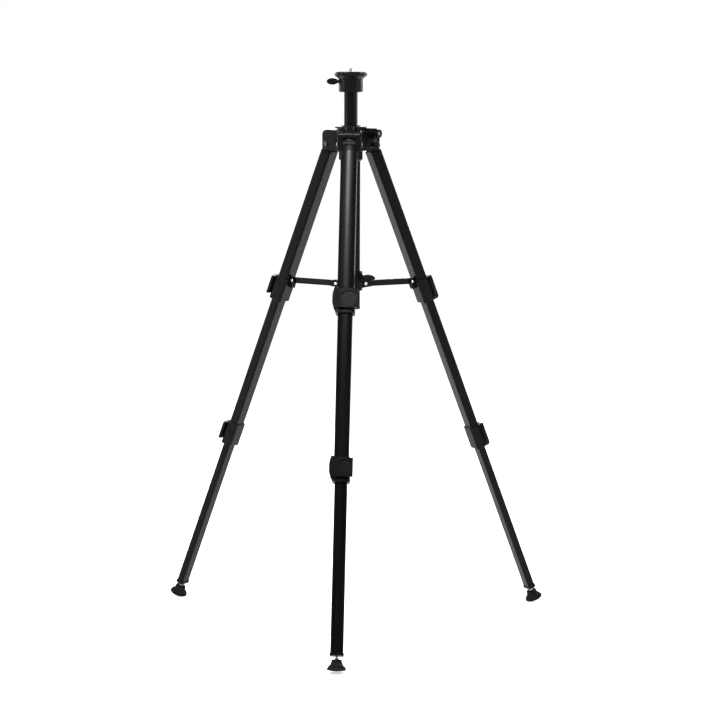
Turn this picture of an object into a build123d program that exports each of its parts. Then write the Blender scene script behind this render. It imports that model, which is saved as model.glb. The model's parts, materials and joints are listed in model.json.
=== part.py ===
from build123d import *
import os
from math import cos, pi, radians, sin

# Compact elevating tripod: three flat three-section legs, a mid-level brace that slides on a
# guide tube, a geared column with a crank, and a round head with a 1/4 inch camera screw.
# Millimetres, +Z up, origin on the floor under the column axis, front leg towards -Y.

# --- Driving dimensions -------------------------------------------------------------------

LEG_AZIMUTHS = {"front": -90, "right": 30, "left": 150}
LEG_TILT = 22                   # each leg from the vertical, standing
PIVOT_RADIUS = 42.5             # leg pivots from the column axis
RUNNING_GAP = 0.05              # radial gap of pins in their holes

# Distances down a leg from its pivot.
UPPER_TOP, UPPER_END = 14, 312
UPPER_LOCK_TOP, UPPER_LOCK_END = 281, 329
MIDDLE_TOP, MIDDLE_END = 278, 631
MIDDLE_LOCK_TOP, MIDDLE_LOCK_END = 599, 646
LOWER_TOP, LOWER_END = 591, 957
STUD_END = 975
PAD_TOP, PAD_END = 969, 987
BRACE_RIVET_DOWN, BRACE_RIVET_IN = 280, 17.4

# Leg tubes: width across, depth in and out, wall.
UPPER_TUBE = (31, 22.8, 1.4)
MIDDLE_TUBE = (27.4, 19.2, 1.3)
LOWER_TUBE = (23.4, 15.8, 1.2)
CROWN = 2.2                     # bulge of a tube's outer face
TUBE_CORNER = 3.2

# Leg locks: width across, depth in and out.
UPPER_LOCK = (36, 28.5)
MIDDLE_LOCK = (32.5, 25)
LEVER_THICKNESS = 5
LEVER_GAP = 0.5
LOCK_ABOVE, LOCK_BELOW = 3.4, 8  # height of a lock body above and below its lever
TRUNNION_RADIUS = 1.6
HINGE_BOW = 50                  # radius of a lock's bowed side, seen from outside
THUMB_RADIUS, THUMB_DEPTH, THUMB_ACROSS = 14.5, 1.8, 7

PAD_RADIUS, PAD_NECK_RADIUS = 17, 9.5
STUD_RADIUS = 2.8

PIVOT_Z = PAD_END * cos(radians(LEG_TILT)) + PAD_RADIUS * sin(radians(LEG_TILT))

# Hub, heights from the leg pivots.
HUB_RADIUS, HUB_TOP, HUB_BOTTOM = 30, 26, -12.5
EAR_REACH, EAR_WIDTH, EAR_SLOT, EAR_ROOF = 51, 45, 24.6, 14
TONGUE_RADIUS, TONGUE_WIDTH, TONGUE_FACE = 11.3, 24, 10.6
BOLT_RADIUS = 3
BARREL_RADIUS, BARREL_END = 22.5, -33
FLANGE_RADIUS, FLANGE_TOP = 30, 33
COLLAR_RADIUS, COLLAR_TOP = 18.5, 35
GUIDE_RADIUS, GUIDE_WALL, GUIDE_SEAT, GUIDE_END = 18.2, 1.4, -10, -309
LEVEL_PLACE, LEVEL_RADIUS = 36.5, 6.5

# Column and its drive.
COLUMN_RADIUS, COLUMN_BORE, COLUMN_GAP = 13, 8.5, 0.4
COLUMN_LOW, COLUMN_HIGH = -190, 112.5
MODULE, PINION_TEETH, PINION_WIDTH = 1.0, 16, 6
RACK_AZIMUTH, DRIVE_HEIGHT = 57, 20
RACK_WIDTH, RACK_BACK, RACK_LOW, RACK_HIGH = 6, 9.8, -160, 92
BACKLASH = 0.3
SHAFT_RADIUS, SHAFT_INNER, SHAFT_OUTER = 3, -20, 52
BOSS_RADIUS, BOSS_END = 10, 43.2
CRANK_FROM, CRANK_THICK, CRANK_REACH = 43.9, 4.6, 25
CRANK_REST = -35                # turn of the crank arm from straight down
HANDLE_LENGTH = 13

# Head, heights from the leg pivots.
HEAD_LOW, HEAD_CONE, HEAD_TOP, PLATFORM_TOP = 97.5, 121.5, 126.2, 135
HEAD_RADIUS, PLATFORM_RADIUS, PLATFORM_FOOT = 22.8, 30.8, 28.7
SCREW_RADIUS, SCREW_HEIGHT, SCREW_SHANK = 3.175, 7, 2.8
HEAD_LEVER_HEIGHT, HEAD_LEVER_AZIMUTH = 117.2, 184

# Brace.
BRACE_HUB_RADIUS = 29           # slider rivets from the column axis
BRACE_TIP_RADIUS = 41           # where a brace arm ends inside its clevis
BRACE_HEIGHT, BRACE_THICKNESS = 11.4, 4
SLIDER_RADIUS, SLIDER_BORE = 22.6, 18.7
SLIDER_ABOVE, SLIDER_BELOW = 25, 12
CLEVIS_SLOT, CLEVIS_WIDTH, CLEVIS_REACH = 5, 13, 44
KNOB_AZIMUTH, KNOB_RISE = -33, 14.5

BRACE_RIVET_RADIUS = (
    PIVOT_RADIUS
    + BRACE_RIVET_DOWN * sin(radians(LEG_TILT))
    - BRACE_RIVET_IN * cos(radians(LEG_TILT))
)
BRACE_Z = (
    PIVOT_Z
    - BRACE_RIVET_DOWN * cos(radians(LEG_TILT))
    - BRACE_RIVET_IN * sin(radians(LEG_TILT))
)


# --- Placing ------------------------------------------------------------------------------

def on_leg(shape, azimuth):
    """From leg space (pivot at 0, +X outwards, +Z up the leg) to the standing leg."""
    return Rot(0, 0, azimuth) * Pos(PIVOT_RADIUS, 0, PIVOT_Z) * Rot(0, -LEG_TILT, 0) * shape


def on_hub(shape, azimuth=0):
    """From hub space (pivots at height 0, +X outwards) to the tripod."""
    return Rot(0, 0, azimuth) * Pos(0, 0, PIVOT_Z) * shape


def on_drive(shape):
    """From drive space (+Z out along the pinion shaft, +X up) to the tripod."""
    pitch_offset = COLUMN_RADIUS - MODULE + MODULE * PINION_TEETH / 2
    shaft = Plane(
        origin=(
            pitch_offset * cos(radians(RACK_AZIMUTH)),
            pitch_offset * sin(radians(RACK_AZIMUTH)),
            PIVOT_Z + DRIVE_HEIGHT,
        ),
        x_dir=(0, 0, 1),
        z_dir=(cos(radians(RACK_AZIMUTH - 90)), sin(radians(RACK_AZIMUTH - 90)), 0),
    )
    return shaft.location * shape


def on_brace(shape, azimuth=0):
    """From brace space (slider rivets at height 0, +X outwards) to the tripod."""
    return Rot(0, 0, azimuth) * Pos(0, 0, BRACE_Z) * shape


def rod(radius, low, high):
    """Round bar along Z."""
    return Pos(0, 0, (low + high) / 2) * Cylinder(radius, high - low)


def cross_rod(radius, low, high):
    """Round bar along Y."""
    return Pos(0, (low + high) / 2, 0) * Rot(90, 0, 0) * Cylinder(radius, high - low)


def block(low, high):
    """Box between two corners."""
    size = [b - a for a, b in zip(low, high)]
    middle = [(a + b) / 2 for a, b in zip(low, high)]
    return Pos(*middle) * Box(*size)


# --- Leg tubes ----------------------------------------------------------------------------

def crowned(width, depth, corner=TUBE_CORNER, crown=CROWN):
    """Flat tube outline with a bowed outer face towards +X."""
    across, out = width / 2, depth / 2
    with BuildSketch() as outline:
        with BuildLine():
            Polyline((out - crown, across), (-out, across), (-out, -across), (out - crown, -across))
            ThreePointArc((out - crown, -across), (out, 0), (out - crown, across))
        make_face()
        fillet(outline.vertices(), corner)
    return outline.sketch


def down_leg(outline, top, end):
    """Extrude an outline between two distances down the leg."""
    return Pos(0, 0, -end) * extrude(outline, end - top)


def bore_of(size, spare=0.0):
    """Outline of a tube's hollow, made smaller all round by spare."""
    width, depth, wall = size
    take = 2 * (wall + spare)
    return crowned(width - take, depth - take, TUBE_CORNER - wall)


def leg_tube(size, top, end):
    width, depth, _ = size
    outside = down_leg(crowned(width, depth), top, end)
    return outside - down_leg(bore_of(size), top - 1, end + 1)


def top_bracket():
    """Leg knuckle: a round tongue on the pivot bolt with a plug inside the tube."""
    tongue = cross_rod(TONGUE_RADIUS, -TONGUE_WIDTH / 2, TONGUE_WIDTH / 2)
    face = down_leg(crowned(TONGUE_WIDTH, 2 * TONGUE_FACE, 1.2), -8.4, UPPER_TOP)
    face &= block((0, -20, -UPPER_TOP), (20, 20, 20))
    web = block((-8, -TONGUE_WIDTH / 2, -UPPER_TOP), (8, TONGUE_WIDTH / 2, 0))
    plug = down_leg(bore_of(UPPER_TUBE, RUNNING_GAP), UPPER_TOP - 0.4, UPPER_TOP + 12)
    bolt_hole = cross_rod(BOLT_RADIUS + 0.08, -TONGUE_WIDTH, TONGUE_WIDTH)
    return tongue + face + web + plug - bolt_hole


# --- Leg locks ----------------------------------------------------------------------------

def lever_axis(lock):
    """Place of the lever's hinge in leg space, as (out, across)."""
    width, depth = lock
    return depth / 2 - 1.2, -width / 2 - 1.6


def hinge_side(lock, top, end):
    """Prism with one bowed side, which rounds off the hinge end of a lock seen from outside."""
    width, _ = lock
    middle = -(top + LOCK_ABOVE + end - LOCK_BELOW) / 2
    bulge = -width / 2 - 6.2
    with BuildSketch(Plane.YZ) as outline:
        with Locations((bulge + HINGE_BOW, middle)):
            Circle(HINGE_BOW)
        with Locations((bulge + HINGE_BOW + 40, middle)):
            Rectangle(80, 80)
    return extrude(outline.sketch, 40, both=True)


def lock_body(lock, top, end, outer_tube, inner_tube, tube_end):
    """Collar that holds the outer tube, lets the inner tube slide and carries the lever."""
    width, depth = lock
    body = down_leg(crowned(width, depth, 5, CROWN), top, end)
    rims = body.faces().filter_by(Axis.Z).edges()
    body = chamfer(rims, 1.2)
    out, across = lever_axis(lock)
    for low, height in ((-end, LOCK_BELOW), (-top - LOCK_ABOVE, LOCK_ABOVE)):
        knuckle = Pos(out, across, low) * extrude(Circle(4.4), height)
        web = block((out - 7, across, low), (out + 3, across + 8, low + height))
        body += (knuckle + web) & hinge_side(lock, top, end)
    body -= down_leg(Pos(out, across) * Circle(5), top + LOCK_ABOVE, end - LOCK_BELOW)
    hinge_hole = Pos(out, across) * Circle(TRUNNION_RADIUS + RUNNING_GAP)
    body -= down_leg(hinge_hole, top + LOCK_ABOVE - 2.2, end - LOCK_BELOW + 2.2)
    outer_width, outer_depth, _ = outer_tube
    inner_width, inner_depth, _ = inner_tube
    seat = crowned(outer_width + 0.1, outer_depth + 0.1)
    passage = crowned(inner_width + 0.8, inner_depth + 0.8)
    body -= down_leg(seat, top - 1, tube_end + 0.1)
    body -= down_leg(passage, tube_end - 1, end + 1)
    return body


def brace_lug():
    """Two ears on the inside of the upper lock for the brace arm's rivet."""
    ears = None
    for side in (-1, 1):
        ear = Rot(90, 0, 0) * extrude(Circle(5), 3)
        ear = Pos(-BRACE_RIVET_IN, 1.5 + side * (CLEVIS_SLOT / 2 + 1.5), -BRACE_RIVET_DOWN) * ear
        near = side * CLEVIS_SLOT / 2
        far = side * (CLEVIS_SLOT / 2 + 3)
        foot = block(
            (-BRACE_RIVET_IN - 5, min(near, far), -BRACE_RIVET_DOWN - 15),
            (-11, max(near, far), -BRACE_RIVET_DOWN),
        )
        ears = ear + foot if ears is None else ears + ear + foot
    hole = Pos(-BRACE_RIVET_IN, 0, -BRACE_RIVET_DOWN) * cross_rod(1.5 + RUNNING_GAP, -20, 20)
    return ears - hole


def upper_collar():
    body = lock_body(UPPER_LOCK, UPPER_LOCK_TOP, UPPER_LOCK_END, UPPER_TUBE, MIDDLE_TUBE, UPPER_END)
    tube_room = down_leg(crowned(UPPER_TUBE[0] + 0.6, UPPER_TUBE[1] + 0.6), UPPER_TOP, UPPER_END)
    arm_room = cross_rod(BRACE_HEIGHT / 2 + 0.6, -CLEVIS_SLOT / 2, CLEVIS_SLOT / 2)
    arm_room = Pos(-BRACE_RIVET_IN, 0, -BRACE_RIVET_DOWN) * arm_room
    return body + (brace_lug() - tube_room) - arm_room


def middle_collar():
    return lock_body(
        MIDDLE_LOCK, MIDDLE_LOCK_TOP, MIDDLE_LOCK_END, MIDDLE_TUBE, LOWER_TUBE, MIDDLE_END
    )


def lever(lock, top, end):
    """Flip lever: a curved plate over the lock's outer face, flared at its free end."""
    width, depth = lock
    out, across = lever_axis(lock)
    face = depth / 2 + LEVER_GAP
    outside = face + LEVER_THICKNESS
    tip = width / 2 + 5.6
    with BuildSketch() as outline:
        with BuildLine():
            Line((out - 3.9, across), (out + 1.5, across + 1))
            Line((out + 1.5, across + 1), (face, across + 6))
            ThreePointArc((face, across + 6), (face + 0.2, 0), (face - 0.6, width / 2 - 3))
            ThreePointArc(
                (face - 0.6, width / 2 - 3), (face - 1.2, width / 2 + 0.6), (face + 0.6, tip - 0.8)
            )
            ThreePointArc((face + 0.6, tip - 0.8), (face + 2.4, tip), (face + 3.8, tip - 0.9))
            ThreePointArc(
                (face + 3.8, tip - 0.9), (outside - 0.3, width / 2 - 2), (outside + 0.4, 4)
            )
            ThreePointArc((outside + 0.4, 4), (face + 4.4, -width / 4), (out + 3.6, across - 2.2))
            ThreePointArc((out + 3.6, across - 2.2), (out - 0.6, across - 4.2), (out - 3.9, across))
        make_face()
    low, high = top + LOCK_ABOVE + 0.4, end - LOCK_BELOW - 0.4
    plate = down_leg(outline.sketch, low, high)
    barrel = down_leg(Pos(out, across) * Circle(4.3), low, high)
    trunnion = down_leg(Pos(out, across) * Circle(TRUNNION_RADIUS), low - 2, high + 2)
    thumb = Rot(0, 90, 0) * rod(THUMB_RADIUS, 0, 20)
    thumb = Pos(outside - THUMB_DEPTH, THUMB_ACROSS, -(low + high) / 2) * thumb
    return ((plate + barrel) & hinge_side(lock, top, end)) + trunnion - thumb


# --- Feet ---------------------------------------------------------------------------------

def end_cap():
    """Plug and flange at the bottom of the lower tube, bored for the stud."""
    plug = down_leg(bore_of(LOWER_TUBE, RUNNING_GAP), LOWER_END - 16, LOWER_END)
    flange = down_leg(crowned(LOWER_TUBE[0] + 2, LOWER_TUBE[1] + 2), LOWER_END, LOWER_END + 5)
    return plug + flange - rod(STUD_RADIUS, -LOWER_END - 6, -LOWER_END + 17)


def foot_stud():
    return rod(STUD_RADIUS, -STUD_END, -LOWER_END + 14) + rod(4.4, -PAD_TOP + 0.6, -PAD_TOP + 3)


def foot_pad():
    """Flared rubber pad, square to the leg, that turns on the stud."""
    height = PAD_END - PAD_TOP
    with BuildSketch(Plane.XZ) as outline:
        with BuildLine():
            Polyline((0, 0), (PAD_RADIUS, 0), (PAD_RADIUS, 3.2), (PAD_RADIUS - 1.6, 6))
            ThreePointArc((PAD_RADIUS - 1.6, 6), (11.6, 11.2), (PAD_NECK_RADIUS, height))
            Polyline((PAD_NECK_RADIUS, height), (0, height), (0, 0))
        make_face()
    pad = revolve(outline.sketch, Axis.Z)
    socket = rod(STUD_RADIUS + RUNNING_GAP, PAD_END - STUD_END - 0.6, height + 1)
    return Pos(0, 0, -PAD_END) * (pad - socket)


# --- Brace --------------------------------------------------------------------------------

def brace_rivet(place, half_length):
    """Domed rivet along Y at a place given as (x, z)."""
    x, z = place
    shank = cross_rod(1.5, -half_length - 1.4, half_length + 1.4)
    heads = None
    for side in (-1, 1):
        head = cross_rod(2.9, side * (half_length + 0.8) - 0.7, side * (half_length + 0.8) + 0.7)
        heads = head if heads is None else heads + head
    return Pos(x, 0, z) * (shank + heads)


def brace_hub_rivets():
    """A headed pin in each clevis ear; they stop at the slot, which stays clear."""
    slot = block((0, -CLEVIS_SLOT / 2, -10), (60, CLEVIS_SLOT / 2, 10))
    pins = brace_rivet((BRACE_HUB_RADIUS, 0), CLEVIS_WIDTH / 2) - slot
    placed = [on_brace(pins, azimuth) for azimuth in LEG_AZIMUTHS.values()]
    return Compound(children=[solid for pair in placed for solid in pair.solids()])


def brace_arm():
    """Flat bar from the leg lug towards the slider, in brace space."""
    half = BRACE_HEIGHT / 2
    with BuildSketch(Plane.XZ) as outline:
        with Locations(((BRACE_RIVET_RADIUS + BRACE_TIP_RADIUS + half) / 2, 0)):
            Rectangle(BRACE_RIVET_RADIUS - BRACE_TIP_RADIUS - half, BRACE_HEIGHT)
        with Locations((BRACE_RIVET_RADIUS, 0), (BRACE_TIP_RADIUS + half, 0)):
            Circle(half)
        with Locations((BRACE_RIVET_RADIUS, 0)):
            Circle(1.5 + RUNNING_GAP, mode=Mode.SUBTRACT)
    bar = extrude(outline.sketch, BRACE_THICKNESS / 2, both=True)
    for side in (-1, 1):
        rib_gap = block(
            (BRACE_TIP_RADIUS + 10, side * 2 - 0.7, -half + 1.8),
            (BRACE_RIVET_RADIUS - 12, side * 2 + 0.7, half - 1.8),
        )
        bar -= rib_gap
    return bar


def brace_slider():
    """Ring on the guide tube with three slotted clevises and a boss for the lock knob."""
    ring = rod(SLIDER_RADIUS, -SLIDER_BELOW, SLIDER_ABOVE)
    ring = chamfer(ring.edges().filter_by(GeomType.CIRCLE), 1.2)
    boss = Rot(0, 0, KNOB_AZIMUTH) * Pos(0, 0, KNOB_RISE) * Rot(0, 90, 0) * rod(5.6, 14, 27)
    body = ring + boss
    for azimuth in LEG_AZIMUTHS.values():
        with BuildSketch(Plane.XZ) as outline:
            with BuildLine():
                Polyline(
                    (16, -SLIDER_BELOW + 2),
                    (25, -7.5),
                    (CLEVIS_REACH - 2, -5.7),
                    (CLEVIS_REACH, -3.7),
                    (CLEVIS_REACH, 3.7),
                    (CLEVIS_REACH - 2, 5.7),
                    (27, 6.6),
                    (16, 14),
                    (16, -SLIDER_BELOW + 2),
                )
            make_face()
        body += Rot(0, 0, azimuth) * extrude(outline.sketch, CLEVIS_WIDTH / 2, both=True)
    for azimuth in LEG_AZIMUTHS.values():
        slot = block((10, -CLEVIS_SLOT / 2, -6.6), (CLEVIS_REACH + 5, CLEVIS_SLOT / 2, 40))
        low_slot = block((24.5, -CLEVIS_SLOT / 2, -20), (CLEVIS_REACH + 5, CLEVIS_SLOT / 2, 0))
        hole = Pos(BRACE_HUB_RADIUS, 0, 0) * cross_rod(1.5, -20, 20)
        body -= Rot(0, 0, azimuth) * (slot + low_slot + hole)
    body -= rod(SLIDER_BORE, -40, 40)
    thread = Rot(0, 0, KNOB_AZIMUTH) * Pos(0, 0, KNOB_RISE) * Rot(0, 90, 0) * rod(2.6, 10, 40)
    return body - thread


def wing_knob(shank_in, neck_out, reach, wing_height):
    """Wing screw along +X: threaded shank, round neck and a leaf-shaped wing."""
    shank = Rot(0, 90, 0) * rod(2.5, shank_in, neck_out + 1)
    neck = Rot(0, 90, 0) * rod(3.6, neck_out, neck_out + 6)
    middle = (neck_out + 0.6 + reach) / 2
    half = reach - middle
    with BuildSketch(Plane.XZ) as leaf:
        with Locations((middle, 0)):
            Ellipse(half, wing_height / 2)
    wing = extrude(leaf.sketch, 2.3, both=True)
    wing = fillet(wing.edges(), 1.3)
    return shank + neck + wing


# --- Hub ----------------------------------------------------------------------------------

def leg_shoulder():
    """One arm of the casting, before its slot is cut."""
    with BuildSketch(Plane.XZ) as side:
        with BuildLine():
            Polyline((EAR_REACH - 9, HUB_TOP), (0, HUB_TOP), (0, HUB_BOTTOM), (46, HUB_BOTTOM))
            Polyline((46, HUB_BOTTOM), (EAR_REACH, -7), (EAR_REACH, HUB_TOP - 9))
            ThreePointArc(
                (EAR_REACH, HUB_TOP - 9),
                (EAR_REACH - 9 + 9 * cos(pi / 4), HUB_TOP - 9 + 9 * sin(pi / 4)),
                (EAR_REACH - 9, HUB_TOP),
            )
        make_face()
    arm = extrude(side.sketch, EAR_WIDTH / 2, both=True)
    return arm


def hub_casting():
    """Main casting: shoulder with three forked arms, top flange, barrel and drive boss."""
    body = rod(HUB_RADIUS, HUB_BOTTOM, HUB_TOP)
    for azimuth in LEG_AZIMUTHS.values():
        body += Rot(0, 0, azimuth) * leg_shoulder()
    top_edges = body.faces().sort_by(Axis.Z)[-1].edges()
    body = fillet(top_edges, 2.4)
    body += rod(FLANGE_RADIUS - 4, HUB_TOP - 1, FLANGE_TOP - 2) + rod(FLANGE_RADIUS, FLANGE_TOP - 3, FLANGE_TOP)
    body += rod(COLLAR_RADIUS, FLANGE_TOP - 1, COLLAR_TOP)
    barrel = rod(BARREL_RADIUS, BARREL_END, HUB_BOTTOM + 1)
    body += chamfer(barrel.edges().filter_by(GeomType.CIRCLE).sort_by(Axis.Z)[0], 4)
    body += Pos(0, -LEVEL_PLACE, 0) * rod(LEVEL_RADIUS + 2.6, HUB_TOP - 1, FLANGE_TOP + 1.5)
    knob_boss = Rot(0, 0, 90) * Pos(0, 0, -22) * Rot(0, 90, 0) * rod(6.5, 18, 26)
    body += knob_boss
    body = on_hub(body) + on_drive(rod(BOSS_RADIUS, 12, BOSS_END))
    for azimuth in LEG_AZIMUTHS.values():
        slot = block((30, -EAR_SLOT / 2, -40), (70, EAR_SLOT / 2, EAR_ROOF))
        bolt_hole = Pos(PIVOT_RADIUS, 0, 0) * cross_rod(BOLT_RADIUS, -40, 40)
        body -= on_hub(slot + bolt_hole, azimuth)
    body -= on_hub(rod(COLUMN_RADIUS + COLUMN_GAP, -60, 60))
    body -= on_hub(rod(GUIDE_RADIUS + 0.05, -60, GUIDE_SEAT + 0.1))
    body -= on_hub(Pos(0, -LEVEL_PLACE, 0) * rod(LEVEL_RADIUS, FLANGE_TOP - 5, 60))
    body -= on_drive(rod(MODULE * (PINION_TEETH + 2) / 2 + 0.7, -60, PINION_WIDTH / 2 + 0.6))
    body -= on_drive(rod(SHAFT_RADIUS + RUNNING_GAP, -60, 60))
    lock_thread = Rot(0, 0, 90) * Pos(0, 0, -22) * Rot(0, 90, 0) * rod(2.6, 10, 40)
    return body - on_hub(lock_thread)


def gear_cover():
    """Bush plate that closes the pinion's bore and carries the shaft's inner end."""
    plate = rod(MODULE * (PINION_TEETH + 2) / 2 + 0.6, -19, -PINION_WIDTH / 2 - 0.8)
    plate = on_drive(plate - rod(SHAFT_RADIUS + RUNNING_GAP, -40, 40))
    return plate - on_hub(rod(COLUMN_RADIUS + COLUMN_GAP, -60, 60))


def leg_pivot_bolts():
    """Three cross bolts with a hexagon at each end."""
    bolts = []
    half = EAR_WIDTH / 2
    for azimuth in LEG_AZIMUTHS.values():
        bolt = cross_rod(BOLT_RADIUS, -half - 1, half + 1)
        for side in (-1, 1):
            head = extrude(RegularPolygon(5.6, 6), 2.2)
            bolt += Pos(0, side * (half + 1.15) + 1.1, 0) * Rot(90, 0, 0) * head
        bolts.append(on_hub(Pos(PIVOT_RADIUS, 0, 0) * bolt, azimuth))
    return Compound(children=bolts)


def level_vial():
    return on_hub(Pos(0, -LEVEL_PLACE, 0) * rod(LEVEL_RADIUS - 0.05, FLANGE_TOP - 4.9, FLANGE_TOP + 1.2))


def guide_tube():
    return on_hub(
        rod(GUIDE_RADIUS, GUIDE_END, GUIDE_SEAT) - rod(GUIDE_RADIUS - GUIDE_WALL, -400, 0)
    )


def guide_tube_cap():
    """End ring under the guide tube."""
    lip = rod(GUIDE_RADIUS + 0.3, GUIDE_END - 4, GUIDE_END)
    plug = rod(GUIDE_RADIUS - GUIDE_WALL - 0.05, GUIDE_END - 1, GUIDE_END + 9)
    return on_hub(lip + plug - rod(GUIDE_RADIUS - 5, GUIDE_END - 9, GUIDE_END + 20))


# --- Column and drive ---------------------------------------------------------------------

def column_tube():
    """Thick tube with a slot for the inlaid rack."""
    tube = rod(COLUMN_RADIUS, COLUMN_LOW, COLUMN_HIGH) - rod(COLUMN_BORE, -300, 300)
    half = RACK_WIDTH / 2 + 0.05
    groove = block((RACK_BACK, -half, RACK_LOW), (20, half, RACK_HIGH))
    return on_hub(tube - Rot(0, 0, RACK_AZIMUTH) * groove)


def column_rack():
    """Rack with straight-flanked teeth that point outwards."""
    pitch = pi * MODULE
    root = COLUMN_RADIUS - 2.3 * MODULE
    tip = COLUMN_RADIUS - 0.1 * MODULE
    pitch_line = COLUMN_RADIUS - MODULE
    half_tooth = (pitch - BACKLASH) / 4
    flank = 0.364
    first = int((DRIVE_HEIGHT - RACK_HIGH) / pitch) + 1
    last = int((DRIVE_HEIGHT - RACK_LOW) / pitch) - 1
    outline = [(RACK_BACK + 0.05, RACK_HIGH - 0.1), (root, RACK_HIGH - 0.1)]
    for index in range(first, last + 1):
        middle = DRIVE_HEIGHT - (index + 0.5) * pitch
        root_half = half_tooth + flank * (pitch_line - root)
        tip_half = half_tooth - flank * (tip - pitch_line)
        outline += [(root, middle + root_half), (tip, middle + tip_half)]
        outline += [(tip, middle - tip_half), (root, middle - root_half)]
    outline += [(root, RACK_LOW + 0.1), (RACK_BACK + 0.05, RACK_LOW + 0.1)]
    with BuildSketch(Plane.XZ) as side:
        with BuildLine():
            Polyline(*outline, close=True)
        make_face()
    rack = extrude(side.sketch, RACK_WIDTH / 2, both=True)
    return on_hub(rack, RACK_AZIMUTH)


def pinion_shaft():
    """Shaft with its pinion, in drive space; one tooth points at the rack."""
    pitch_radius = MODULE * PINION_TEETH / 2
    root, tip = pitch_radius - 1.25 * MODULE, pitch_radius + 0.85 * MODULE
    half_tooth = (pi * MODULE - BACKLASH) / 4 / pitch_radius
    outline = []
    for index in range(PINION_TEETH):
        middle = 2 * pi * index / PINION_TEETH + pi / 2
        for radius, half in (
            (root, half_tooth * 1.45),
            (pitch_radius, half_tooth),
            (tip, half_tooth * 0.42),
            (tip, -half_tooth * 0.42),
            (pitch_radius, -half_tooth),
            (root, -half_tooth * 1.45),
        ):
            outline.append((radius * cos(middle - half), radius * sin(middle - half)))
    with BuildSketch() as gear:
        with BuildLine():
            Polyline(*outline, close=True)
        make_face()
    pinion = Pos(0, 0, -PINION_WIDTH / 2) * extrude(gear.sketch, PINION_WIDTH)
    return on_drive(pinion + rod(SHAFT_RADIUS, SHAFT_INNER + 2, SHAFT_OUTER))


def crank_arm():
    """Arm pressed on the shaft, pointing down, with a pin for the handle."""
    far = CRANK_FROM + CRANK_THICK
    hub = rod(8, CRANK_FROM, far + 4.4)
    blade = Pos(-CRANK_REACH / 2, 0, CRANK_FROM + CRANK_THICK / 2) * Box(CRANK_REACH, 8, CRANK_THICK)
    end = Pos(-CRANK_REACH, 0, 0) * rod(6, CRANK_FROM, far)
    arm = chamfer((hub + blade + end).edges().group_by(Axis.Z)[0], 0.6)
    pin = Pos(-CRANK_REACH, 0, 0) * rod(2, far - 1, far + HANDLE_LENGTH - 1)
    return on_drive(Rot(0, 0, CRANK_REST) * (arm + pin) - rod(SHAFT_RADIUS, 0, 100))


def crank_handle():
    """Barrel grip that spins on the crank's pin."""
    low = CRANK_FROM + CRANK_THICK + 0.3
    with BuildSketch(Plane.XZ) as outline:
        with BuildLine():
            Polyline((0, low), (4.6, low))
            ThreePointArc((4.6, low), (6, low + HANDLE_LENGTH / 2), (5, low + HANDLE_LENGTH - 1))
            Polyline((5, low + HANDLE_LENGTH - 1), (4, low + HANDLE_LENGTH), (0, low + HANDLE_LENGTH))
            Line((0, low + HANDLE_LENGTH), (0, low))
        make_face()
    grip = revolve(outline.sketch, Axis.Z) - rod(2 + RUNNING_GAP, low - 1, low + HANDLE_LENGTH - 0.8)
    return on_drive(Rot(0, 0, CRANK_REST) * Pos(-CRANK_REACH, 0, 0) * grip)


def column_lock_knob():
    """Screw with a short swept lever behind the barrel."""
    shank = Rot(0, 90, 0) * rod(2.5, 18.5, 29)
    neck = Rot(0, 90, 0) * rod(5, 26.6, 34)
    blade = block((28.5, -4.2, -20), (33.5, 4.2, 0))
    knob = shank + neck + fillet(blade.edges(), 1.6)
    return on_hub(Pos(0, 0, -22) * knob, 90)


# --- Head ---------------------------------------------------------------------------------

def turned(points):
    """Solid of revolution about Z from (radius, height) points."""
    with BuildSketch(Plane.XZ) as outline:
        with BuildLine():
            Polyline(*points, close=True)
        make_face()
    return revolve(outline.sketch, Axis.Z)


def head_body():
    """Cup on the column's top end that carries the turning platform."""
    cup = turned([
        (0, HEAD_LOW),
        (HEAD_RADIUS - 1, HEAD_LOW),
        (HEAD_RADIUS, HEAD_LOW + 1),
        (HEAD_RADIUS, HEAD_CONE),
        (0, HEAD_CONE),
    ])
    spigot = rod(9, HEAD_CONE - 1, HEAD_CONE + 3.5)
    lever_hole = Rot(0, 0, HEAD_LEVER_AZIMUTH) * Pos(0, 0, HEAD_LEVER_HEIGHT) * Rot(0, 90, 0)
    cup -= rod(COLUMN_RADIUS, HEAD_LOW - 1, COLUMN_HIGH)
    return on_hub(cup + spigot - lever_hole * rod(2.6, 15, 40))


def platform():
    """Turning platform: a cone that opens to a straight rim."""
    top = turned([
        (9.1, HEAD_CONE + 0.3),
        (HEAD_RADIUS, HEAD_CONE + 0.3),
        (PLATFORM_FOOT, HEAD_TOP + 0.4),
        (PLATFORM_RADIUS, PLATFORM_TOP - 6.6),
        (PLATFORM_RADIUS, PLATFORM_TOP - 1.4),
        (PLATFORM_RADIUS - 0.8, PLATFORM_TOP - 0.6),
        (PLATFORM_RADIUS - 2.4, PLATFORM_TOP - 0.6),
        (PLATFORM_RADIUS - 2.4, PLATFORM_TOP - 2.4),
        (SCREW_SHANK, PLATFORM_TOP - 2.4),
        (SCREW_SHANK, HEAD_CONE + 4.2),
        (9.1, HEAD_CONE + 4.2),
    ])
    return on_hub(top)


def platform_pad():
    """Rubber disc let into the platform, standing a little proud of the rim."""
    pad = rod(PLATFORM_RADIUS - 2.5, PLATFORM_TOP - 2.4, PLATFORM_TOP)
    return on_hub(pad - rod(SCREW_RADIUS + 0.8, 0, 200))


def camera_screw():
    shank = rod(SCREW_SHANK, HEAD_CONE + 4.4, PLATFORM_TOP)
    return on_hub(shank + rod(SCREW_RADIUS, PLATFORM_TOP, PLATFORM_TOP + SCREW_HEIGHT))


# --- Parts --------------------------------------------------------------------------------

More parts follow.
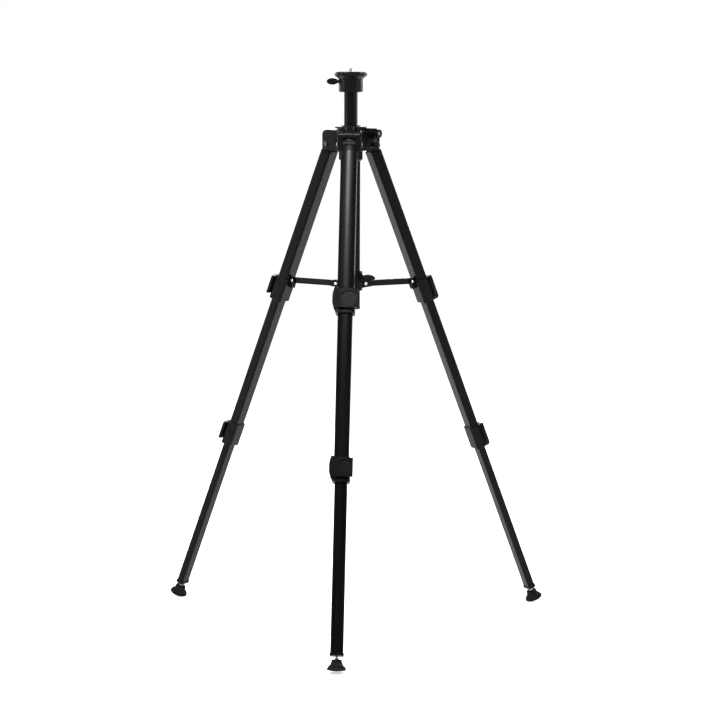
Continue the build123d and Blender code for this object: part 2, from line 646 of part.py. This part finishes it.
def leg_parts(name, azimuth):
    """Every piece of one leg, by node name."""
    half_clevis = CLEVIS_SLOT / 2 + 3
    pieces = {
        "top_bracket": top_bracket(),
        "upper_tube": leg_tube(UPPER_TUBE, UPPER_TOP, UPPER_END),
        "upper_collar": upper_collar(),
        "upper_lever": lever(UPPER_LOCK, UPPER_LOCK_TOP, UPPER_LOCK_END),
        "brace_rivet": brace_rivet((-BRACE_RIVET_IN, -BRACE_RIVET_DOWN), half_clevis),
        "middle_tube": leg_tube(MIDDLE_TUBE, MIDDLE_TOP, MIDDLE_END),
        "middle_collar": middle_collar(),
        "middle_lever": lever(MIDDLE_LOCK, MIDDLE_LOCK_TOP, MIDDLE_LOCK_END),
        "lower_tube": leg_tube(LOWER_TUBE, LOWER_TOP, LOWER_END),
        "end_cap": end_cap(),
        "foot_stud": foot_stud(),
        "foot_pad": foot_pad(),
    }
    placed = {f"{name}_{piece}": on_leg(shape, azimuth) for piece, shape in pieces.items()}
    placed[f"{name}_brace_arm"] = on_brace(brace_arm(), azimuth)
    return placed


def all_parts():
    parts = {}
    for name, azimuth in LEG_AZIMUTHS.items():
        parts.update(leg_parts(name, azimuth))
    head_lever = Rot(0, 0, HEAD_LEVER_AZIMUTH) * Pos(0, 0, HEAD_LEVER_HEIGHT)
    knob = Rot(0, 0, KNOB_AZIMUTH) * Pos(0, 0, KNOB_RISE)
    parts.update({
        "hub_casting": hub_casting(),
        "gear_cover": gear_cover(),
        "leg_pivot_bolts": leg_pivot_bolts(),
        "level_vial": level_vial(),
        "guide_tube": guide_tube(),
        "guide_tube_cap": guide_tube_cap(),
        "brace_slider": on_brace(brace_slider()),
        "brace_hub_rivets": brace_hub_rivets(),
        "brace_lock_knob": on_brace(knob * wing_knob(18.5, 27.4, 57, 12)),
        "column_tube": column_tube(),
        "column_rack": column_rack(),
        "column_lock_knob": column_lock_knob(),
        "pinion_shaft": pinion_shaft(),
        "crank_arm": crank_arm(),
        "crank_handle": crank_handle(),
        "head_body": head_body(),
        "head_lever": on_hub(head_lever * wing_knob(15.5, 23.3, 45.7, 12.4)),
        "platform": platform(),
        "platform_pad": platform_pad(),
        "camera_screw": camera_screw(),
    })
    return parts


def main():
    os.makedirs("parts", exist_ok=True)
    for name, shape in all_parts().items():
        export_step(shape, f"parts/{name}.step")
        print(name, len(shape.solids()))


main()
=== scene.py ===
import json
import math
import bmesh
import bpy
from mathutils import Matrix, Vector


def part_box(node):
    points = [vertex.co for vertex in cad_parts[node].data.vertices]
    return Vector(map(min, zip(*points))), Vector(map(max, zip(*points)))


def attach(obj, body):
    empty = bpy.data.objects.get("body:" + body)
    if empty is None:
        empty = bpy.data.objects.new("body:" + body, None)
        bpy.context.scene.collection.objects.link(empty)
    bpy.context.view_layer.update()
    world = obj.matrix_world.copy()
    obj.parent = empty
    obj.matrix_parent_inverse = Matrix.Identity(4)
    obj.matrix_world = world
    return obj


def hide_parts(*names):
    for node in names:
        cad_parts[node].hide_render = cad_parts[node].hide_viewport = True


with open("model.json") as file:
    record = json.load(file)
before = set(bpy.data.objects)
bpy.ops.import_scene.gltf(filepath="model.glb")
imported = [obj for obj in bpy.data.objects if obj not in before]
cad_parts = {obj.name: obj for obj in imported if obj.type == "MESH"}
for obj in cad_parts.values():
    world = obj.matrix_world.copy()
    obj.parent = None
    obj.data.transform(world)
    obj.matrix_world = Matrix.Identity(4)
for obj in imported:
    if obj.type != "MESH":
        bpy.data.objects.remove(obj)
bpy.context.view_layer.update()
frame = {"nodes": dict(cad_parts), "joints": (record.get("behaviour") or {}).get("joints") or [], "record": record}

# Metres in the CAD frame, angles in degrees, and the lens in millimetres.
LEGS = ("front", "right", "left")
JOINTS = {joint["name"]: joint for joint in frame["joints"]}

# --- Camera, as the photograph looks at the tripod ---------------------------------------
CAMERA_AZIMUTH = 3.27
CAMERA_DISTANCE = 5.205
CAMERA_HEIGHT = 1.205
CAMERA_PITCH = 7.61
CAMERA_YAW = -0.205
CAMERA_ROLL = 0.16
CAMERA_LENS = 137.6

# --- Sizes of the detailed pieces --------------------------------------------------------
PAD_RADIUS = 0.017
PAD_NECK = 0.0095
PAD_HEIGHT = 0.018
PAD_RIBS = 24
RIB_DEPTH = 0.0005
THREAD_PITCH = 0.00127
THREAD_DEPTH = 0.0007
THREAD_ROWS = 56
SCREW_SHANK = 0.0028
SCREW_CHAMFER = 0.0008
DISC_HOLE = 0.0041
DISC_GROOVES = 7
GROOVE_DEPTH = 0.0006
RIVET_SHANK = 0.0015
RIVET_HEAD = 0.0029
RIVET_DOME = 0.0013
RIVET_REACH = 0.0056  # from a rivet's middle to 0.1 mm short of its heads
GRIP_START = 0.0003
GRIP_LENGTH = 0.013
GRIP_FLUTES = 12
LEVEL_RING = (0.0026, 0.0030, 0.00012)  # inner and outer radius, thickness
SHARP_ANGLE = 35

# --- Light ------------------------------------------------------------------------------
WORLD_LIGHT = 0.09
FLOOR_SIZE = 90
FLOOR_GLOW = 0.55
SUN_STRENGTH = 2.0
SUN_SPREAD = 35
SUN_HEADING = (0.35, 0.3, -1)
# Each softbox: place, width and height, watts, the point it faces.
SOFTBOXES = {
    "key": ((-0.1, -1.32, 2.04), (0.13, 0.26), 38, (0, 0, 0.9)),
    "left_strip": ((-2.4, -0.6, 1.3), (0.5, 2.4), 28, (0, 0, 0.6)),
    "right_strip": ((2.4, -0.8, 1.3), (0.5, 2.4), 20, (0, 0, 0.6)),
    "back_strip": ((0.4, 2.6, 1.8), (2.4, 0.6), 60, (0, 0, 0.7)),
    "back_left": ((-1.9, 1.7, 1.5), (0.35, 1.8), 25, (0, 0, 0.6)),
    "back_right": ((2.0, 1.6, 1.6), (0.35, 1.8), 40, (0, 0, 0.6)),
}


# --- Materials ---------------------------------------------------------------------------

class Shader:
    """A principled material whose colour, gloss and relief come from noise in object space."""

    def __init__(self, name, color, rough, metallic=0.0, turn=None, **sockets):
        self.material = bpy.data.materials.new(name)
        self.material.use_nodes = True
        self.tree = self.material.node_tree
        self.bsdf = self.tree.nodes["Principled BSDF"]
        self.bsdf.inputs["Base Color"].default_value = (*color, 1)
        self.bsdf.inputs["Roughness"].default_value = rough
        self.bsdf.inputs["Metallic"].default_value = metallic
        for socket, value in sockets.items():
            self.bsdf.inputs[socket.replace("_", " ")].default_value = value
        place = self.tree.nodes.new("ShaderNodeTexCoord")
        self.space = place.outputs["Object"]
        if turn is not None:
            mapping = self.tree.nodes.new("ShaderNodeMapping")
            mapping.inputs["Rotation"].default_value = turn
            self.tree.links.new(self.space, mapping.inputs["Vector"])
            self.space = mapping.outputs["Vector"]
        self.normal = None

    def noise(self, scale, detail=2.0, stretch=(1, 1, 1)):
        """Noise in the material's space, drawn out along an axis that is scaled down."""
        mapping = self.tree.nodes.new("ShaderNodeMapping")
        mapping.inputs["Scale"].default_value = stretch
        self.tree.links.new(self.space, mapping.inputs["Vector"])
        noise = self.tree.nodes.new("ShaderNodeTexNoise")
        noise.inputs["Scale"].default_value = scale
        noise.inputs["Detail"].default_value = detail
        self.tree.links.new(mapping.outputs["Vector"], noise.inputs["Vector"])
        return noise.outputs["Fac"]

    def vary_rough(self, source, low, high, start=0.3, end=0.7):
        """Moves the roughness from low to high as the noise goes from start to end."""
        ramp = self.tree.nodes.new("ShaderNodeMapRange")
        ramp.inputs["From Min"].default_value = start
        ramp.inputs["From Max"].default_value = end
        ramp.inputs["To Min"].default_value = low
        ramp.inputs["To Max"].default_value = high
        self.tree.links.new(source, ramp.inputs["Value"])
        self.tree.links.new(ramp.outputs["Result"], self.bsdf.inputs["Roughness"])

    def vary_color(self, source, first, second, start=0.35, end=0.7):
        """Moves the colour from first to second as the noise goes from start to end."""
        ramp = self.tree.nodes.new("ShaderNodeValToRGB")
        ramp.color_ramp.elements[0].position = start
        ramp.color_ramp.elements[0].color = (*first, 1)
        ramp.color_ramp.elements[1].position = end
        ramp.color_ramp.elements[1].color = (*second, 1)
        self.tree.links.new(source, ramp.inputs["Fac"])
        self.tree.links.new(ramp.outputs["Color"], self.bsdf.inputs["Base Color"])

    def bump(self, source, height, strength=1.0):
        """Adds relief on top of what the material already has."""
        bump = self.tree.nodes.new("ShaderNodeBump")
        bump.inputs["Distance"].default_value = height
        bump.inputs["Strength"].default_value = strength
        self.tree.links.new(source, bump.inputs["Height"])
        if self.normal is not None:
            self.tree.links.new(self.normal, bump.inputs["Normal"])
        self.normal = bump.outputs["Normal"]
        self.tree.links.new(self.normal, self.bsdf.inputs["Normal"])

    def soften_edges(self, radius):
        """Rounds hard edges in the shading, as the real mouldings are rounded."""
        bevel = self.tree.nodes.new("ShaderNodeBevel")
        bevel.samples = 4
        bevel.inputs["Radius"].default_value = radius
        self.normal = bevel.outputs["Normal"]
        self.tree.links.new(self.normal, self.bsdf.inputs["Normal"])


def leg_turn(leg):
    """Texture rotation that brings a leg's long axis onto Z."""
    up = -Vector(JOINTS[f"middle_{leg}_slide"]["axis"])
    return up.rotation_difference(Vector((0, 0, 1))).to_euler()


def anodised(name, turn=None, rough=(0.22, 0.32)):
    """Black anodised extrusion: long faint die lines, fine satin grain, soft colour drift."""
    made = Shader(name, (0.002, 0.002, 0.0022), 0.28, 0.0, turn, Specular_IOR_Level=0.07)
    made.soften_edges(0.0005)
    drift = made.noise(35, 3, (1, 1, 0.15))
    made.vary_color(drift, (0.0012, 0.0012, 0.0014), (0.0028, 0.0028, 0.0031))
    made.vary_rough(made.noise(260, 4, (1, 1, 0.02)), *rough)
    made.bump(made.noise(900, 3, (1, 1, 0.012)), 0.00003, 0.5)
    made.bump(made.noise(5200, 1), 0.000012, 0.5)
    return made.material


def painted(name):
    """Satin powder coat: orange-peel relief and slightly uneven gloss."""
    made = Shader(name, (0.002, 0.002, 0.002), 0.38, 0.0, Specular_IOR_Level=0.1)
    made.soften_edges(0.0008)
    made.vary_color(made.noise(60, 3), (0.0014, 0.0014, 0.0015), (0.0032, 0.0032, 0.0034))
    made.vary_rough(made.noise(140, 3), 0.3, 0.44)
    made.bump(made.noise(900, 2), 0.00006, 0.6)
    made.bump(made.noise(3600, 1), 0.00002, 0.5)
    return made.material


def moulded(name):
    """Glass-filled nylon: spark-eroded grain with faint flow marks."""
    made = Shader(name, (0.0025, 0.0025, 0.0025), 0.42, 0.0, Specular_IOR_Level=0.08)
    made.soften_edges(0.0006)
    made.vary_color(made.noise(45, 4, (1, 1, 0.5)), (0.0014, 0.0014, 0.0015), (0.0034, 0.0034, 0.0036))
    made.vary_rough(made.noise(420, 3), 0.34, 0.5)
    made.bump(made.noise(2600, 2), 0.00005, 0.7)
    return made.material


def plated(name):
    """Bright plating with hairline wear."""
    made = Shader(name, (0.72, 0.72, 0.71), 0.16, 1.0)
    made.soften_edges(0.0004)
    made.vary_color(made.noise(300, 3), (0.62, 0.62, 0.61), (0.8, 0.8, 0.79))
    made.vary_rough(made.noise(1500, 4), 0.1, 0.3)
    made.bump(made.noise(2400, 2, (1, 6, 1)), 0.00001, 0.4)
    return made.material


def blackened_steel(name):
    """Oil-blackened bolt steel, worn a little bright in patches."""
    made = Shader(name, (0.1, 0.1, 0.1), 0.28, 1.0)
    made.soften_edges(0.0004)
    made.vary_color(made.noise(700, 3), (0.02, 0.02, 0.022), (0.2, 0.2, 0.195), 0.45, 0.72)
    made.vary_rough(made.noise(1300, 3), 0.2, 0.4)
    made.bump(made.noise(2200, 2), 0.00001, 0.4)
    return made.material


def turned_steel(name):
    """Turned steel: fine rings along the length, a little dull."""
    made = Shader(name, (0.5, 0.5, 0.49), 0.32, 1.0)
    made.soften_edges(0.0002)
    made.vary_color(made.noise(220, 3), (0.38, 0.38, 0.37), (0.56, 0.56, 0.55))
    made.vary_rough(made.noise(900, 2, (0.1, 0.1, 3)), 0.24, 0.42)
    made.bump(made.noise(1500, 2, (0.05, 0.05, 4)), 0.00002, 0.5)
    return made.material


def rubber(name):
    """Matte black rubber with a dusty bloom."""
    made = Shader(name, (0.004, 0.004, 0.004), 0.7, 0.0, Specular_IOR_Level=0.12)
    made.vary_color(made.noise(90, 4), (0.0022, 0.0022, 0.0022), (0.0075, 0.0072, 0.0069), 0.4, 0.75)
    made.vary_rough(made.noise(500, 3), 0.66, 0.9)
    made.bump(made.noise(1900, 3), 0.00008, 0.7)
    return made.material


def vial_glass(name):
    """Tinted spirit vial, seen as a glossy yellow-green lens."""
    made = Shader(name, (0.5, 0.62, 0.12), 0.06, 0.0, Transmission_Weight=0.55, IOR=1.47)
    made.vary_color(made.noise(160, 2), (0.42, 0.55, 0.09), (0.56, 0.68, 0.16))
    made.vary_rough(made.noise(400, 2), 0.04, 0.1)
    return made.material


MATERIALS = {
    "column_black": anodised("column_black", rough=(0.2, 0.3)),
    "black_tube": anodised("guide_black"),
    "casting_black": painted("casting_black"),
    "black_plastic": moulded("black_plastic"),
    "bright_steel": plated("bright_steel"),
    "plain_steel": turned_steel("plain_steel"),
    "rubber": rubber("rubber"),
    "vial": vial_glass("vial"),
}
BOLT_BLACK = blackened_steel("bolt_black")
LEG_BLACK = {leg: anodised(f"{leg}_leg_black", leg_turn(leg)) for leg in LEGS}


def dress_frame():
    """Gives every CAD node its material."""
    for entry in frame["record"]["subparts"]:
        node = entry["node"]
        leg = node.split("_")[0]
        material = MATERIALS[entry["material_slot"]]
        if entry["material_slot"] == "black_tube" and leg in LEG_BLACK:
            material = LEG_BLACK[leg]
        if node == "leg_pivot_bolts":
            material = BOLT_BLACK
        mesh = frame["nodes"][node].data
        mesh.materials.clear()
        mesh.materials.append(material)


# --- Mesh helpers ------------------------------------------------------------------------

def piece(name, mesh, slot, body, replaced=(), place=None):
    """Makes a shown piece from a bmesh, in place, and ties it to its body and slot."""
    data = bpy.data.meshes.new(name)
    bmesh.ops.recalc_face_normals(mesh, faces=mesh.faces)
    mesh.to_mesh(data)
    mesh.free()
    if place is not None:
        data.transform(place)
    made = bpy.data.objects.new(name, data)
    bpy.context.scene.collection.objects.link(made)
    data.materials.append(MATERIALS[slot])
    for face in data.polygons:
        face.use_smooth = True
    data.set_sharp_from_angle(angle=math.radians(SHARP_ANGLE))
    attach(made, body)
    if replaced:
        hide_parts(*replaced)
    return made


def plain_round(angle, radius, height):
    """Shape of a ring with the same radius all round."""
    return radius


def ring_of(mesh, radius, height, segments, shape=plain_round):
    """Ring of vertices about Z; shape(angle, radius, height) gives the radius at an angle."""
    ring = []
    for step in range(segments):
        angle = 2 * math.pi * step / segments
        reach = shape(angle, radius, height)
        ring.append(mesh.verts.new((reach * math.cos(angle), reach * math.sin(angle), height)))
    return ring


def join_rings(mesh, lower_rings, upper_rings):
    """Walls of quads between each lower ring and its upper ring."""
    for lower, upper in zip(lower_rings, upper_rings):
        for step in range(len(lower)):
            after = (step + 1) % len(lower)
            mesh.faces.new((lower[step], lower[after], upper[after], upper[step]))


def close_stack(mesh, rings):
    """Solid from a stack of rings, closed at both ends."""
    join_rings(mesh, rings, rings[1:])
    mesh.faces.new(list(reversed(rings[0])))
    mesh.faces.new(rings[-1])


def lathe(profile, segments, shape=plain_round):
    """Closed solid about Z from a half section; shape gives each ring's radius, as in ring_of."""
    mesh = bmesh.new()
    rings = []
    for radius, height in profile:
        rings.append(ring_of(mesh, radius, height, segments, shape))
    close_stack(mesh, rings)
    return mesh


def axis_place(at, axis):
    """Matrix that puts local Z along an axis at a point."""
    turn = Vector((0, 0, 1)).rotation_difference(Vector(axis)).to_matrix().to_4x4()
    return Matrix.Translation(Vector(at)) @ turn


# --- Detailed pieces ---------------------------------------------------------------------

def pad_profile():
    """Half section of a rubber foot: beaded skirt, waist and neck."""
    bottom = -PAD_HEIGHT
    skirt = [
        (0.0030, bottom + 0.0016),
        (0.0118, bottom + 0.0016),
        (0.0130, bottom + 0.0002),
        (0.0142, bottom),
        (PAD_RADIUS - 0.0006, bottom),
        (PAD_RADIUS, bottom + 0.0006),
        (PAD_RADIUS, bottom + 0.0030),
        (PAD_RADIUS - 0.0005, bottom + 0.0036),
        (PAD_RADIUS - 0.0015, bottom + 0.0042),
        (PAD_RADIUS - 0.0016, bottom + 0.0058),
    ]
    waist = []
    widest = PAD_RADIUS - 0.0018
    for step in range(1, 9):
        along = step / 9
        radius = widest - (widest - 0.0104) * math.sin(along * math.pi / 2) ** 0.8
        waist.append((radius, bottom + 0.0060 + 0.0072 * along))
    neck = [
        (0.0103, bottom + 0.0136),
        (PAD_NECK, bottom + 0.0142),
        (PAD_NECK, bottom + 0.0152),
        (PAD_NECK + 0.0003, bottom + 0.0158),
        (PAD_NECK + 0.0003, bottom + 0.0168),
        (PAD_NECK - 0.0004, -0.0004),
        (PAD_NECK - 0.0012, 0),
        (0.0029, 0),
    ]
    return skirt + waist + neck


def foot_pad(leg):
    """Flared rubber foot with a bead, a waist and a ribbed skirt."""
    joint = JOINTS[f"pad_{leg}_spin"]
    place = axis_place(joint["pos_m"], -Vector(joint["axis"]))
    bottom = -PAD_HEIGHT

    def ribbed(angle, radius, height):
        on_skirt = bottom + 0.0005 < height < bottom + 0.0032 and radius > PAD_RADIUS - 0.001
        return radius - RIB_DEPTH * (math.cos(PAD_RIBS * angle) > 0.2) * on_skirt

    mesh = lathe(pad_profile(), 120, ribbed)
    piece(f"{leg}_rubber_foot", mesh, "rubber", f"pad_{leg}", (f"{leg}_foot_pad",), place)


def camera_screw():
    """Quarter-inch screw with its real thread, a chamfered nose and a plain shank below."""
    low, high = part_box("camera_screw")
    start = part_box("platform_pad")[1].z
    radius = (high.x - low.x) / 2
    height = high.z - start
    segments = 48
    mesh = bmesh.new()

    def thread(angle, crest, z):
        phase = (z / THREAD_PITCH - angle / (2 * math.pi)) % 1.0
        tooth = max(0.0, min(1.0, 2.2 * (0.5 - abs(phase - 0.5)) - 0.05))
        chamfer = max(0.0, z - (height - SCREW_CHAMFER)) * 1.1
        return min(crest - THREAD_DEPTH * (1 - tooth), crest - chamfer)

    rings = []
    for z in (low.z - start, -0.0002):
        rings.append(ring_of(mesh, SCREW_SHANK, z, segments))
    for row in range(THREAD_ROWS + 1):
        z = height * row / THREAD_ROWS
        rings.append(ring_of(mesh, radius, z, segments, thread))
    close_stack(mesh, rings)
    place = Matrix.Translation(Vector(((low.x + high.x) / 2, (low.y + high.y) / 2, start)))
    piece("threaded_screw", mesh, "plain_steel", "platform", ("camera_screw",), place)


def platform_disc():
    """Rubber disc with concentric grooves round the screw."""
    low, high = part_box("platform_pad")
    outer, top, bottom = high.x, high.z, low.z
    profile = [
        (DISC_HOLE, bottom),
        (outer, bottom),
        (outer, top - 0.0008),
        (outer - 0.0006, top - 0.0002),
        (outer - 0.0016, top),
    ]
    spacing = (outer - 0.006 - DISC_HOLE - 0.003) / DISC_GROOVES
    for groove in range(DISC_GROOVES):
        edge = outer - 0.003 - groove * spacing
        profile += [
            (edge, top),
            (edge - 0.0003, top - GROOVE_DEPTH),
            (edge - 0.0011, top - GROOVE_DEPTH),
            (edge - 0.0014, top),
        ]
    profile += [(DISC_HOLE + 0.0006, top), (DISC_HOLE, top - 0.0005)]
    mesh = bmesh.new()
    rings = []
    for radius, height in profile:
        rings.append(ring_of(mesh, radius, height, 96))
    join_rings(mesh, rings, rings[1:] + rings[:1])
    piece("grooved_disc", mesh, "rubber", "platform", ("platform_pad",))


def crank_grip():
    """Fluted barrel grip on the crank's pin."""
    joint = JOINTS["crank_handle_spin"]
    place = axis_place(joint["pos_m"], joint["axis"])
    end = GRIP_START + GRIP_LENGTH
    profile = [(0.0030, GRIP_START), (0.0042, GRIP_START), (0.0047, GRIP_START + 0.0005)]
    for step in range(1, 12):
        along = step / 12
        radius = 0.0048 + 0.0011 * math.sin(math.pi * along)
        profile.append((radius, GRIP_START + 0.0006 + (GRIP_LENGTH - 0.0022) * along))
    profile += [(0.0048, end - 0.0012), (0.0040, end - 0.0002), (0.0032, end)]

    def fluted(angle, radius, height):
        along = (height - GRIP_START) / GRIP_LENGTH
        depth = 0.0005 * max(0.0, math.sin(math.pi * along)) ** 0.5
        return radius - depth * max(0.0, math.cos(GRIP_FLUTES * angle)) ** 2

    mesh = lathe(profile, 120, fluted)
    piece("fluted_grip", mesh, "black_plastic", "crank_handle", ("crank_handle",), place)


def rivet_profile():
    """Half section of a shank and one domed head, from its middle out."""
    seat = RIVET_REACH + 0.0001
    profile = [(RIVET_SHANK, 0.0), (RIVET_SHANK, seat), (RIVET_HEAD, seat)]
    for step in range(7):
        angle = math.pi / 2 * step / 6
        radius = max(RIVET_HEAD * math.cos(angle), 0.0002)
        profile.append((radius, RIVET_REACH + 0.0004 + RIVET_DOME * math.sin(angle)))
    return profile


def leg_rivet(leg):
    """Rivet through the upper lock's lug, with a domed head on each side."""
    joint = JOINTS[f"brace_{leg}_fold"]
    place = axis_place(joint["pos_m"], joint["axis"])
    mesh = bmesh.new()
    for flip in (Matrix.Identity(4), Matrix.Rotation(math.pi, 4, "X")):
        half = lathe(rivet_profile(), 40)
        bmesh.ops.transform(half, matrix=place @ flip, verts=half.verts)
        data = bpy.data.meshes.new("rivet_half")
        half.to_mesh(data)
        half.free()
        mesh.from_mesh(data)
        bpy.data.meshes.remove(data)
    name = f"{leg}_domed_rivet"
    piece(name, mesh, "bright_steel", f"leg_{leg}", (f"{leg}_brace_rivet",))


def level_ring():
    """Thin centring ring on top of the vial."""
    low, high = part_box("level_vial")
    centre = Vector(((low.x + high.x) / 2, (low.y + high.y) / 2, high.z))
    inner, outer, thick = LEVEL_RING
    mesh = lathe([(inner, 0), (outer, 0), (outer, thick), (inner, thick)], 48)
    piece("level_ring_mark", mesh, "black_plastic", "base", (), Matrix.Translation(centre))


# --- Stage, lights and camera ------------------------------------------------------------

def studio_floor():
    """Wide white floor that stays pale under the stand."""
    mesh = bmesh.new()
    bmesh.ops.create_grid(mesh, x_segments=1, y_segments=1, size=FLOOR_SIZE)
    data = bpy.data.meshes.new("floor")
    mesh.to_mesh(data)
    mesh.free()
    floor = bpy.data.objects.new("floor", data)
    bpy.context.scene.collection.objects.link(floor)
    made = Shader("floor_white", (0.8, 0.8, 0.8), 0.9, Emission_Strength=FLOOR_GLOW)
    made.bsdf.inputs["Emission Color"].default_value = (1, 1, 1, 1)
    made.vary_color(made.noise(3, 2), (0.79, 0.79, 0.79), (0.81, 0.81, 0.81))
    data.materials.append(made.material)


def softbox(name, at, size, power, target):
    """Rectangular light turned to face a point, and unseen by the camera."""
    light = bpy.data.lights.new(name, "AREA")
    light.shape = "RECTANGLE"
    light.size, light.size_y = size
    light.energy = power
    made = bpy.data.objects.new(name, light)
    made.location = at
    made.rotation_euler = (Vector(target) - Vector(at)).to_track_quat("-Z", "Y").to_euler()
    made.visible_camera = False
    bpy.context.scene.collection.objects.link(made)


def overhead_sun():
    """Wide soft sun from above."""
    light = bpy.data.lights.new("overhead", "SUN")
    light.energy = SUN_STRENGTH
    light.angle = math.radians(SUN_SPREAD)
    made = bpy.data.objects.new("overhead", light)
    made.rotation_euler = Vector(SUN_HEADING).to_track_quat("-Z", "Y").to_euler()
    bpy.context.scene.collection.objects.link(made)


def studio_world():
    """White all round for the camera, and dim in what lights and reflects on the tripod."""
    world = bpy.data.worlds.new("studio")
    bpy.context.scene.world = world
    world.use_nodes = True
    tree = world.node_tree
    backdrop = tree.nodes["Background"]
    backdrop.inputs["Color"].default_value = (1, 1, 1, 1)
    room = tree.nodes.new("ShaderNodeBackground")
    room.inputs["Color"].default_value = (WORLD_LIGHT, WORLD_LIGHT, WORLD_LIGHT, 1)
    path = tree.nodes.new("ShaderNodeLightPath")
    mix = tree.nodes.new("ShaderNodeMixShader")
    tree.links.new(path.outputs["Is Camera Ray"], mix.inputs["Fac"])
    tree.links.new(room.outputs["Background"], mix.inputs[1])
    tree.links.new(backdrop.outputs["Background"], mix.inputs[2])
    tree.links.new(mix.outputs["Shader"], tree.nodes["World Output"].inputs["Surface"])


def studio_lights():
    """All the lights, the world and a plain view of their colours."""
    for name, settings in SOFTBOXES.items():
        softbox(name, *settings)
    overhead_sun()
    studio_world()
    bpy.context.scene.view_settings.view_transform = "Standard"


def photo_camera():
    """Camera that matches the photograph's view."""
    azimuth = math.radians(CAMERA_AZIMUTH)
    heading = math.radians(CAMERA_AZIMUTH + CAMERA_YAW)
    pitch = math.radians(CAMERA_PITCH)
    camera = bpy.data.objects.new("camera", bpy.data.cameras.new("camera"))
    bpy.context.scene.collection.objects.link(camera)
    camera.location = (
        CAMERA_DISTANCE * math.sin(azimuth),
        -CAMERA_DISTANCE * math.cos(azimuth),
        CAMERA_HEIGHT,
    )
    forward = Vector((
        -math.sin(heading) * math.cos(pitch),
        math.cos(heading) * math.cos(pitch),
        -math.sin(pitch),
    ))
    level = forward.to_track_quat("-Z", "Y").to_matrix().to_4x4()
    roll = Matrix.Rotation(math.radians(CAMERA_ROLL), 4, "Z")
    camera.rotation_euler = (level @ roll).to_euler()
    camera.data.lens = CAMERA_LENS
    camera.data.sensor_width = 36
    camera.data.clip_end = 200
    bpy.context.scene.camera = camera


def main():
    """Materials, detailed pieces, stage, lights and camera."""
    dress_frame()
    for leg in LEGS:
        foot_pad(leg)
        leg_rivet(leg)
    camera_screw()
    platform_disc()
    crank_grip()
    level_ring()
    studio_floor()
    studio_lights()
    photo_camera()


main()

bpy.context.view_layer.update()
